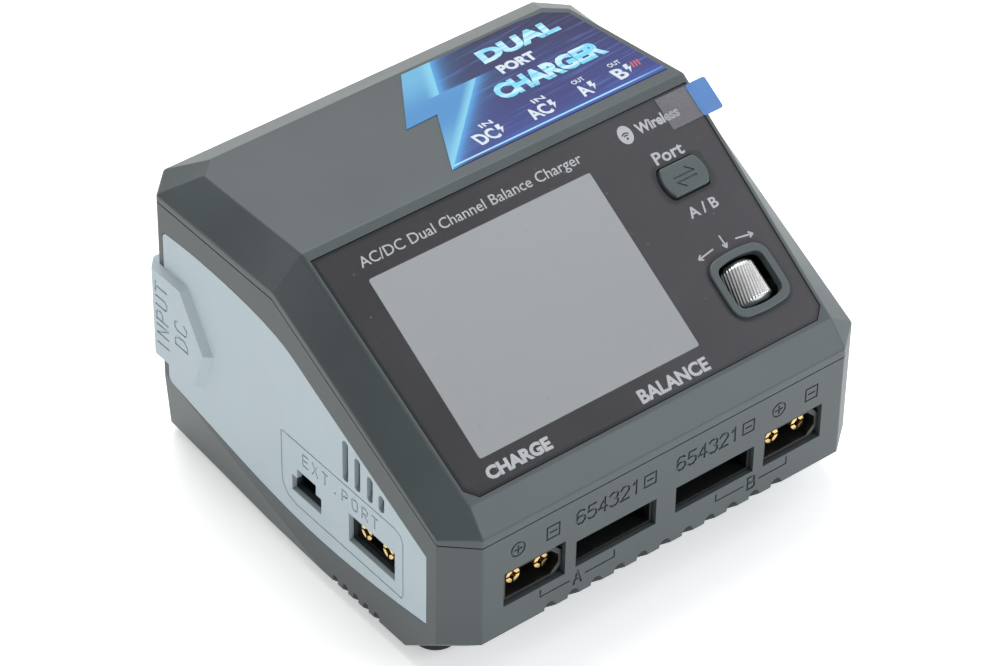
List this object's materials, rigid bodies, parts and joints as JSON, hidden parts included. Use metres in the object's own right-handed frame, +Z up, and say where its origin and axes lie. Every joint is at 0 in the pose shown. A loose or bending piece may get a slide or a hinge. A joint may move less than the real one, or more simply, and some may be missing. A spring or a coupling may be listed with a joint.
{
  "type": "balance battery charger",
  "caption": "Wedge-shaped bench charger with a sloping colour display, scroll wheel and port button, front output and balance sockets, side expansion port and rear cooling fan.",
  "frame": {"origin": "centre of the bounding box at the level of the feet", "axes": "+X to the right seen from the front, +Y from the front sockets to the rear fan, +Z up"},
  "size_m": [0.1132, 0.1054, 0.0773],
  "materials": {
    "case_plastic": "fine matte moulded texture",
    "cover_plastic": "fine matte moulded texture",
    "panel_plastic": "fine matte moulded texture",
    "rubber": "matte",
    "steel": "plain steel screw",
    "plate_black": "printed plate, satin",
    "screen": "unlit display under its film",
    "white_plastic": "plain",
    "black_plastic": "plain",
    "circuit_board": "lacquered laminate",
    "button_plastic": "fine matte",
    "roller_metal": "turned and fluted",
    "film": "clear film",
    "tape": "clear adhesive tape",
    "tab_blue": "translucent blue film",
    "label": "printed sticker",
    "gold": "gold plated",
    "ferrite": "ferrite",
    "coil_tape": "polyester tape",
    "capacitor_sleeve": "heat-shrunk sleeve",
    "aluminium": "extruded",
    "ribbon": "flat cable"
  },
  "bodies": {
    "housing": {"ac_inlet": "black_plastic", "ac_inlet_pins": "gold", "balance_pins_a": "gold", "balance_pins_b": "gold", "balance_socket_a": "white_plastic", "balance_socket_b": "white_plastic", "board_screws": "steel", "bottom_case": "case_plastic", "button_switch": "black_plastic", "buzzer": "black_plastic", "capacitors": "capacitor_sleeve", "case_screws": "steel", "controller_chip": "black_plastic", "dc_input_pins": "gold", "dc_input_socket": "black_plastic", "display_board": "circuit_board", "display_screws": "steel", "ext_pins": "gold", "ext_socket": "black_plastic", "face_plate": "plate_black", "fan_frame": "black_plastic", "fan_screws": "steel", "film_tape": "tape", "fuse": "white_plastic", "heatsink": "aluminium", "inductors": "ferrite", "lcd_frame": "white_plastic", "lcd_module": "black_plastic", "left_side_panel": "panel_plastic", "main_board": "circuit_board", "mosfets": "black_plastic", "output_pins_a": "gold", "output_pins_b": "gold", "output_socket_a": "black_plastic", "output_socket_b": "black_plastic", "press_switch": "black_plastic", "protective_film": "film", "pull_tab": "tab_blue", "radio_module": "circuit_board", "ribbon_cable": "ribbon", "right_side_panel": "panel_plastic", "rubber_feet": "rubber", "screen_window": "screen", "signal_pins": "gold", "signal_socket": "black_plastic", "top_cover": "cover_plastic", "top_label": "label", "transformer_coil": "coil_tape", "transformer_core": "ferrite", "wheel_bezel": "button_plastic", "wheel_guide": "black_plastic"},
    "port_button": {"port_button": "button_plastic"},
    "wheel_carrier": {"wheel_carrier": "black_plastic", "wheel_axle": "steel"},
    "scroll_wheel": {"scroll_wheel": "roller_metal"},
    "fan_rotor": {"fan_rotor": "black_plastic"}
  },
  "joints": [
    {"name": "port_button_press", "type": "slide", "parent": "housing", "child": "port_button", "axis": [0, 0.5251, -0.851], "range_m": [0, 0.0007], "stiffness_N_per_m": 1500},
    {"name": "wheel_press", "type": "slide", "parent": "housing", "child": "wheel_carrier", "axis": [0, 0.5251, -0.851], "range_m": [0, 0.0007], "stiffness_N_per_m": 2000},
    {"name": "wheel_spin", "type": "hinge", "parent": "wheel_carrier", "child": "scroll_wheel", "pos_m": [0.0357, -0.03333, 0.04967], "axis": [0, 0.851, 0.5251], "continuous": true},
    {"name": "fan_spin", "type": "hinge", "parent": "housing", "child": "fan_rotor", "pos_m": [0, 0.04285, 0.0366], "axis": [0, 1, 0], "continuous": true}
  ]
}
